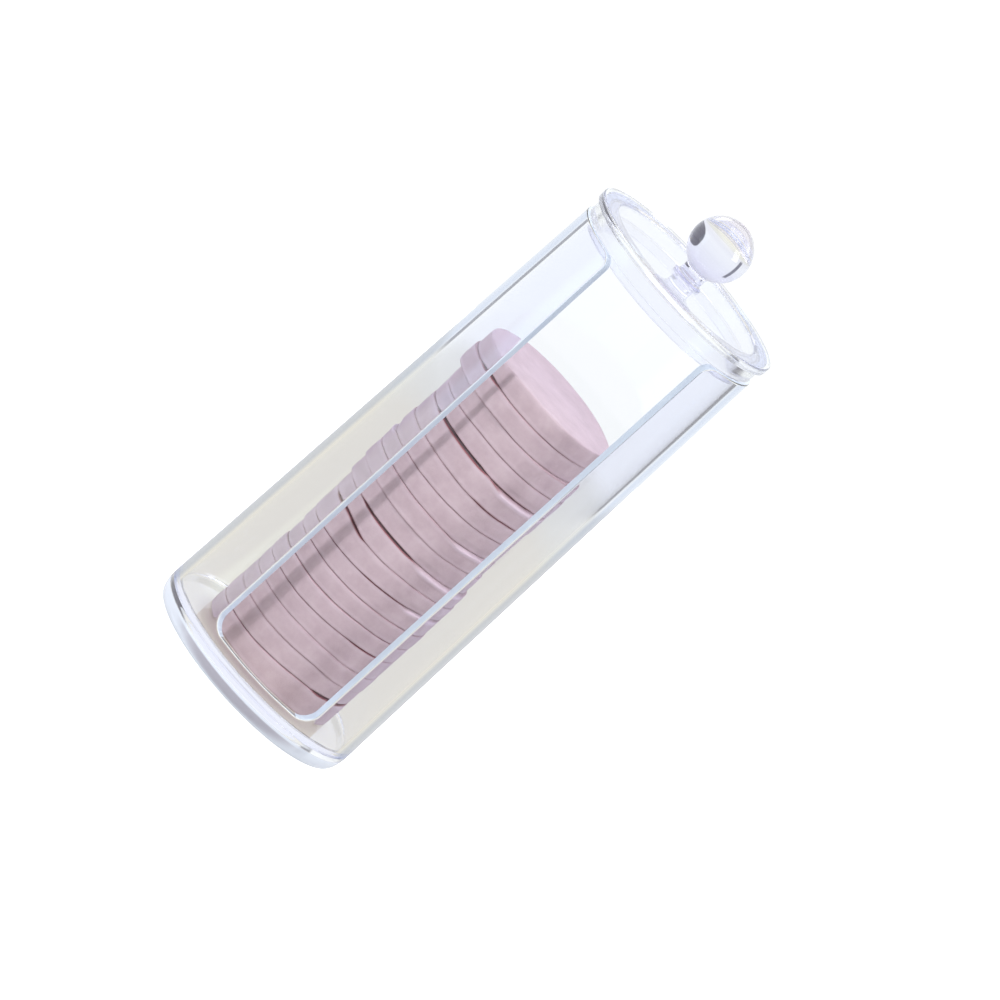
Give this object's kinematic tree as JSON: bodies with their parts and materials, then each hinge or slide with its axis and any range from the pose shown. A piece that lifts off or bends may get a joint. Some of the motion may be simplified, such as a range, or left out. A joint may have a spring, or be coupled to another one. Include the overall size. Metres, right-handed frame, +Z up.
{
  "type": "cotton pad dispenser",
  "caption": "Clear acrylic cylinder with a tall front slot, thick base and lift-off lid with a ball knob, holding a stack of round cotton pads.",
  "frame": {"origin": "centre of the base's flat underside", "axes": "+Z up along the cylinder's axis, -Y out of the front slot, +X to the right seen from the front"},
  "size_m": [0.0848, 0.0848, 0.2274],
  "materials": {
    "clear_acrylic_body": "polished clear acrylic with a faint cool tint",
    "clear_acrylic_base": "polished clear acrylic with a faint cool tint",
    "clear_acrylic_lid": "polished clear acrylic with a faint cool tint",
    "clear_acrylic_knob": "polished clear acrylic ball",
    "pink_cotton": "soft matt pressed cotton, dusty pink"
  },
  "bodies": {
    "holder": {"body_tube": "clear_acrylic_body", "base_plate": "clear_acrylic_base"},
    "lid": {"lid_disc": "clear_acrylic_lid", "lid_collar": "clear_acrylic_lid", "knob_ball": "clear_acrylic_knob"},
    "pad_stack": {"cotton_pad_01": "pink_cotton", "cotton_pad_02": "pink_cotton", "cotton_pad_03": "pink_cotton", "cotton_pad_04": "pink_cotton", "cotton_pad_05": "pink_cotton", "cotton_pad_06": "pink_cotton", "cotton_pad_07": "pink_cotton", "cotton_pad_08": "pink_cotton", "cotton_pad_09": "pink_cotton", "cotton_pad_10": "pink_cotton", "cotton_pad_11": "pink_cotton", "cotton_pad_12": "pink_cotton", "cotton_pad_13": "pink_cotton", "cotton_pad_14": "pink_cotton", "cotton_pad_15": "pink_cotton", "cotton_pad_16": "pink_cotton", "cotton_pad_17": "pink_cotton"},
    "top_pad": {"cotton_pad_18": "pink_cotton"}
  },
  "joints": [
    {"name": "lid_lift", "type": "slide", "parent": "holder", "child": "lid", "axis": [0, 0, 1], "range_m": [0, 0.045]},
    {"name": "stack_lift", "type": "slide", "parent": "holder", "child": "pad_stack", "axis": [0, 0, 1], "range_m": [0, 0.02]},
    {"name": "top_pad_lift", "type": "slide", "parent": "pad_stack", "child": "top_pad", "axis": [0, 0, 1], "range_m": [0, 0.025]}
  ]
}
